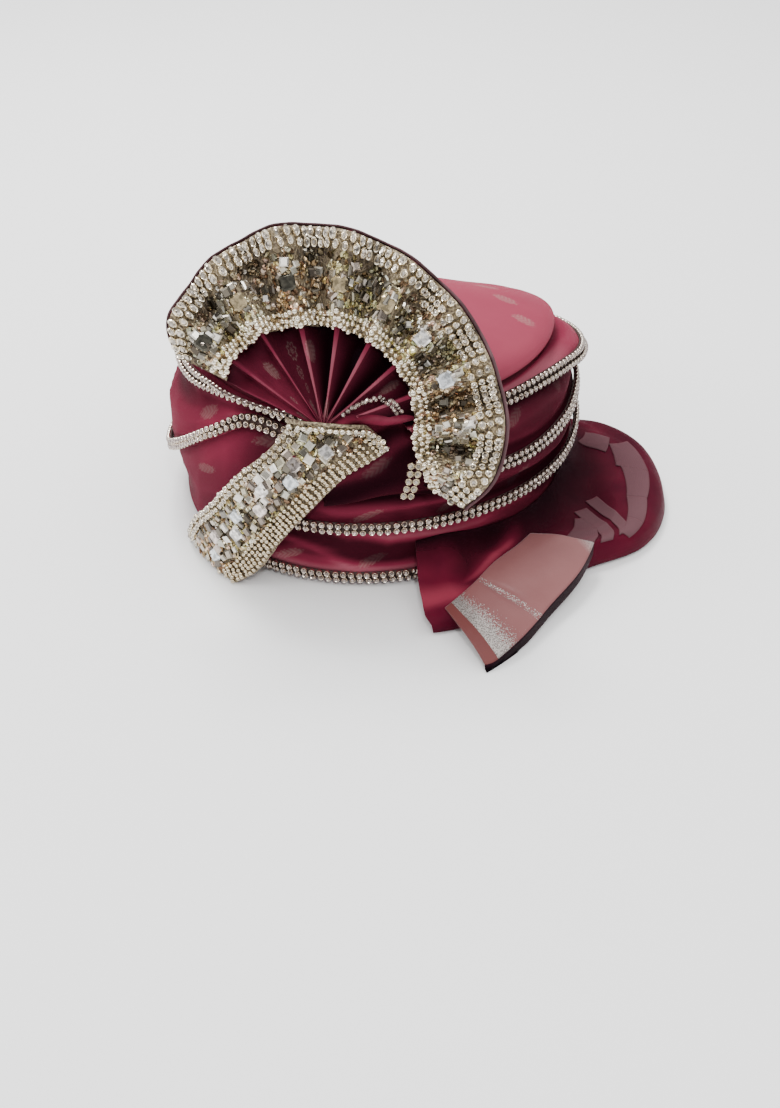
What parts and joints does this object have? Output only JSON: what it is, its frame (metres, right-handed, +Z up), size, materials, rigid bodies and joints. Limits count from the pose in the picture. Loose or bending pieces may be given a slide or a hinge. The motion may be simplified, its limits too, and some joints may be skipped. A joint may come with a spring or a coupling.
{
  "type": "tied turban pagri",
  "caption": "Ready-tied turban: wound crown with bead-edged wraps, pleated fan with stone-set lace, slanting front band, and a loose sheer tail that lies beside it.",
  "frame": {"origin": "centre of the head opening, on the plane of the rim that the turban stands on", "axes": "+Z up, -Y towards the front where the fan stands, +X to the viewer's right of the front, where the tail lies"},
  "size_m": [0.3149, 0.324, 0.2017],
  "materials": {
    "maroon_cloth": "maroon silk with woven grey-gold sprigs, satin sheen",
    "silver_beads": "champagne-silver round beads",
    "stone_lace": "olive-gold lace set with sequins and small stones",
    "mirror_stone": "square cut mirrors",
    "tail_cloth": "sheer wine organza with satin stripes",
    "tail_satin": "salmon satin with a silver zari band"
  },
  "bodies": {
    "root": {"crown": "maroon_cloth", "wrap_top": "maroon_cloth", "wrap_second": "maroon_cloth", "wrap_third": "maroon_cloth", "wrap_bottom": "maroon_cloth", "wrap_left": "maroon_cloth", "trim_top": "silver_beads", "trim_second": "silver_beads", "trim_third": "silver_beads", "trim_bottom": "silver_beads", "front_band": "stone_lace", "band_left_beads": "silver_beads", "band_right_beads": "silver_beads", "band_stone_1": "mirror_stone", "band_stone_2": "mirror_stone", "band_stone_3": "mirror_stone", "band_stone_4": "mirror_stone", "band_stone_5": "mirror_stone", "band_stone_6": "mirror_stone", "band_stone_7": "mirror_stone", "band_stone_8": "mirror_stone", "band_stone_9": "mirror_stone", "fan_cloth": "maroon_cloth", "fan_lace": "stone_lace", "fan_outer_beads": "silver_beads", "fan_inner_beads": "silver_beads", "fan_bead_end": "silver_beads", "fan_stone_1": "mirror_stone", "fan_stone_2": "mirror_stone", "fan_stone_3": "mirror_stone", "fan_stone_4": "mirror_stone", "fan_stone_5": "mirror_stone", "fan_stone_6": "mirror_stone", "fan_stone_7": "mirror_stone", "tail": "tail_cloth", "tail_end": "tail_satin"}
  },
  "joints": []
}
